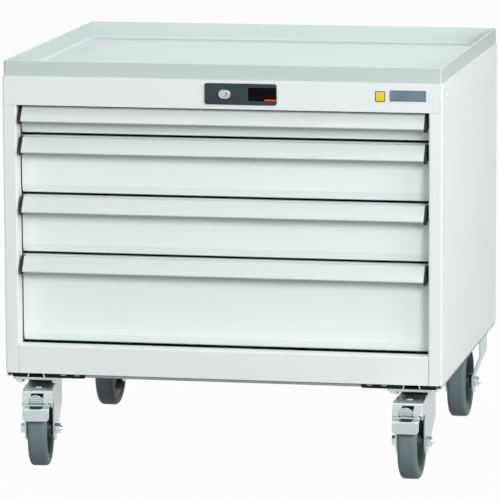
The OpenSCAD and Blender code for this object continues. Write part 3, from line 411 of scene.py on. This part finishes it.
# Camera axes from azimuth and elevation, then rolled; the lens gives the focal length in image pixels
def makeCamera(place):
    az, el, roll = (math.radians(place[k]) for k in ("azimuth", "elevation", "roll"))
    back = Vector((math.sin(az) * math.cos(el), -math.cos(az) * math.cos(el), math.sin(el)))
    right = Vector((math.cos(az), math.sin(az), 0))
    up = back.cross(right)
    tiltedRight = math.cos(roll) * right + math.sin(roll) * up
    tiltedUp = math.cos(roll) * up - math.sin(roll) * right
    data = bpy.data.cameras.new("camera")
    data.lens = place["focalPixels"] / place["imagePixels"] * data.sensor_width
    data.clip_end = place["clipEnd"]
    camera = bpy.data.objects.new("camera", data)
    scene.collection.objects.link(camera)
    turned = Matrix((tiltedRight, tiltedUp, back)).transposed().to_4x4()
    camera.matrix_world = Matrix.Translation(Vector(place["target"]) + back * place["distance"]) @ turned
    scene.camera = camera


makeCamera(cameraPlace)
print("camera set")

# Light: a dim white room, soft lamps in front on both sides, beside, overhead and two behind
roomLight = {"strength": 0.23, "floorShow": 0.97, "floorColour": (0.22, 0.22, 0.22, 1.0), "floorRough": 0.9,
             "floorReach": 30}
lamps = {
    "key": {"place": (3.9, -6.2, 3.0), "aim": (0, -0.2, 0.4), "size": 2.5, "share": 0.52},
    "fill": {"place": (-1.8, -3.4, 1.9), "aim": (0, -0.2, 0.4), "size": 1.4, "share": 0.16},
    "side": {"place": (2.4, -1.0, 1.1), "aim": (0.35, -0.2, 0.4), "size": 1.2, "share": 0.41},
    "overhead": {"place": (0.3, -0.3, 3.2), "aim": (0, 0, 0.5), "size": 2.4, "share": 0.36},
    "rearLeft": {"place": (-2.8, 2.2, 1.5), "aim": (0, 0.2, 0.4), "size": 2.0, "share": 0.46},
    "rear": {"place": (0.2, 3.0, 2.9), "aim": (0, 0.2, 0.4), "size": 2.0, "share": 0.36},
}


# A ray that the camera, a mirror or glass sends sees plain white
def seenRay(tree):
    path = addNode(tree, "ShaderNodeLightPath")
    rays = [path.outputs[kind] for kind in ("Is Camera Ray", "Is Glossy Ray", "Is Transmission Ray")]
    first = addNode(tree, "ShaderNodeMath", {0: rays[0], 1: rays[1]}, operation="MAXIMUM")
    return addNode(tree, "ShaderNodeMath", {0: first.outputs[0], 1: rays[2]}, operation="MAXIMUM").outputs[0]


# The room's even light, and a wide floor that is mostly shown as plain white and keeps a faint shadow
def makeRoom(room):
    world = bpy.data.worlds.new("room")
    world.use_nodes = True
    scene.world = world
    tree = world.node_tree
    strength = spread(tree, seenRay(tree), room["strength"], 1.0, start=0, end=1)
    tree.links.new(strength, tree.nodes["Background"].inputs["Strength"])
    tree.nodes["Background"].inputs["Color"].default_value = (1, 1, 1, 1)
    reach = room["floorReach"]
    mesh = bpy.data.meshes.new("floor")
    mesh.from_pydata([(-reach, -reach, 0), (reach, -reach, 0), (reach, reach, 0), (-reach, reach, 0)], [],
                     [(0, 1, 2, 3)])
    material, tree, shader = newMaterial("floorPale")[:3]
    shader.inputs["Base Color"].default_value = room["floorColour"]
    shader.inputs["Roughness"].default_value = room["floorRough"]
    white = addNode(tree, "ShaderNodeEmission", {"Strength": 1.0})
    share = addNode(tree, "ShaderNodeMath", {0: seenRay(tree), 1: room["floorShow"]}, operation="MULTIPLY")
    both = addNode(tree, "ShaderNodeMixShader",
                   {0: share.outputs[0], 1: shader.outputs[0], 2: white.outputs[0]})
    tree.links.new(both.outputs[0], tree.nodes["Material Output"].inputs["Surface"])
    mesh.materials.append(material)
    floor = bpy.data.objects.new("floor", mesh)
    scene.collection.objects.link(floor)


# A lamp's power so that a face square to it gets that share of a white room's light
def makeLamp(name, lamp):
    data = bpy.data.lights.new(name, "AREA")
    data.shape = "DISK"
    data.size = lamp["size"]
    toAim = Vector(lamp["aim"]) - Vector(lamp["place"])
    data.energy = lamp["share"] * math.pi ** 2 * toAim.length_squared
    item = bpy.data.objects.new(name, data)
    facing = toAim.to_track_quat("-Z", "Y").to_matrix().to_4x4()
    item.matrix_world = Matrix.Translation(lamp["place"]) @ facing
    scene.collection.objects.link(item)


makeRoom(roomLight)
for lampName, lamp in lamps.items():
    makeLamp(lampName, lamp)
print("light set")
